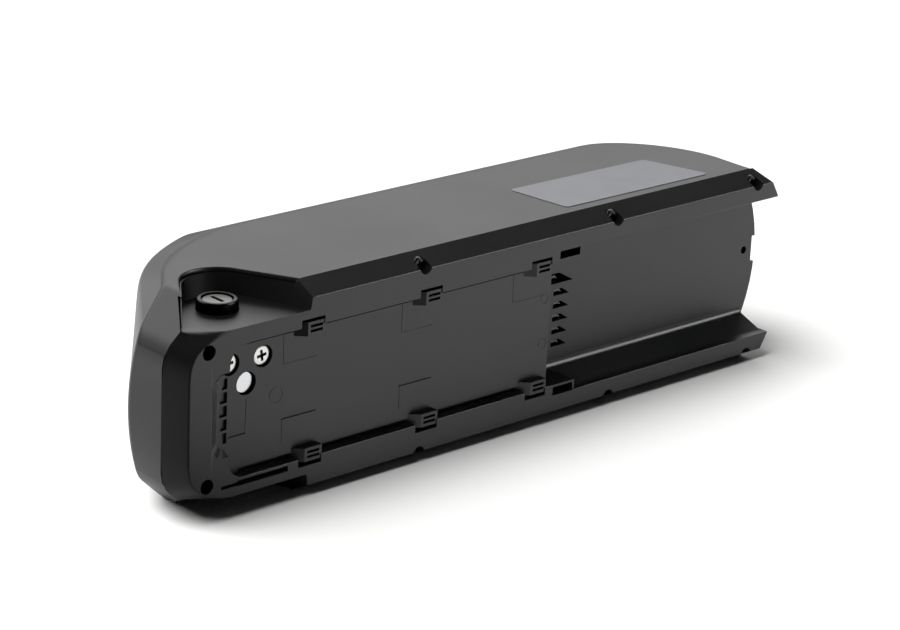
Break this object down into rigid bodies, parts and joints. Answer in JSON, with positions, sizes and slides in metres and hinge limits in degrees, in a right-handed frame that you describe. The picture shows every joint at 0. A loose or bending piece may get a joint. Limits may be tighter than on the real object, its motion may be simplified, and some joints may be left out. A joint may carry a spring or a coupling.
{
  "type": "bicycle battery pack",
  "caption": "Slide-on electric bicycle battery pack: satin black case lying on its flank, keeper blocks and bays on the mounting face, key lock and hinged charge cap in side recesses.",
  "frame": {"origin": "middle of the bounding box on the floor, under the pack as it lies on one flank", "axes": "+X from the nose with the lock to the tail, +Y from the mounting face to the outer face, +Z from the lower flank to the upper flank"},
  "size_m": [0.3528, 0.091, 0.09],
  "materials": {
    "shell_plastic": "satin moulded black",
    "rubber": "matt black",
    "screw_steel": "zinc plated",
    "lock_chrome": "bright plated",
    "fitting_plastic": "matt black",
    "contact_metal": "tinned",
    "cell_sleeve": "shrink sleeve",
    "holder_plastic": "moulded",
    "circuit_board": "lacquered",
    "red_sleeve": "soft",
    "black_sleeve": "soft",
    "foam": "open foam"
  },
  "bodies": {
    "case": {"base_shell": "shell_plastic", "case_screw_1": "screw_steel", "case_screw_2": "screw_steel", "case_screw_3": "screw_steel", "case_screw_4": "screw_steel", "case_screw_5": "screw_steel", "case_screw_6": "screw_steel", "case_screw_7": "screw_steel", "case_screw_8": "screw_steel", "cell_group_01": "cell_sleeve", "cell_group_02": "cell_sleeve", "cell_group_03": "cell_sleeve", "cell_group_04": "cell_sleeve", "cell_group_05": "cell_sleeve", "cell_group_06": "cell_sleeve", "cell_group_07": "cell_sleeve", "cell_group_08": "cell_sleeve", "cell_group_09": "cell_sleeve", "cell_group_10": "cell_sleeve", "cell_holder_lower": "holder_plastic", "cell_holder_upper": "holder_plastic", "charge_socket": "fitting_plastic", "charge_socket_nut": "screw_steel", "contact_1": "contact_metal", "contact_2": "contact_metal", "contact_3": "contact_metal", "contact_4": "contact_metal", "contact_5": "contact_metal", "contact_6": "contact_metal", "foam_pad": "foam", "lock_housing": "lock_chrome", "lock_screw_nose_side": "screw_steel", "lock_screw_tail_side": "screw_steel", "main_shell": "shell_plastic", "negative_lead": "black_sleeve", "positive_lead": "red_sleeve", "protection_board": "circuit_board", "seal_lower": "rubber", "seal_nose": "rubber", "seal_upper": "rubber", "terminal_block": "fitting_plastic"},
    "lock_cylinder": {"lock_cylinder": "lock_chrome"},
    "lock_bolt": {"lock_bolt": "lock_chrome"},
    "charge_cap": {"charge_cap": "rubber"}
  },
  "joints": [
    {"name": "lock_turn", "type": "hinge", "parent": "case", "child": "lock_cylinder", "pos_m": [-0.1375, -0.0225, 0.084], "axis": [0, 0, 1], "range_deg": [0, 90]},
    {"name": "bolt_slide", "type": "slide", "parent": "case", "child": "lock_bolt", "axis": [0, -1, 0], "range_m": [0, 0.008]},
    {"name": "charge_cap_hinge", "type": "hinge", "parent": "case", "child": "charge_cap", "pos_m": [-0.1269, -0.0225, 0.0067], "axis": [0, -1, 0], "range_deg": [0, 100]}
  ],
  "couplings": [
    {"joint": "lock_turn", "follows": "bolt_slide", "rad_per_m": 196.3}
  ]
}
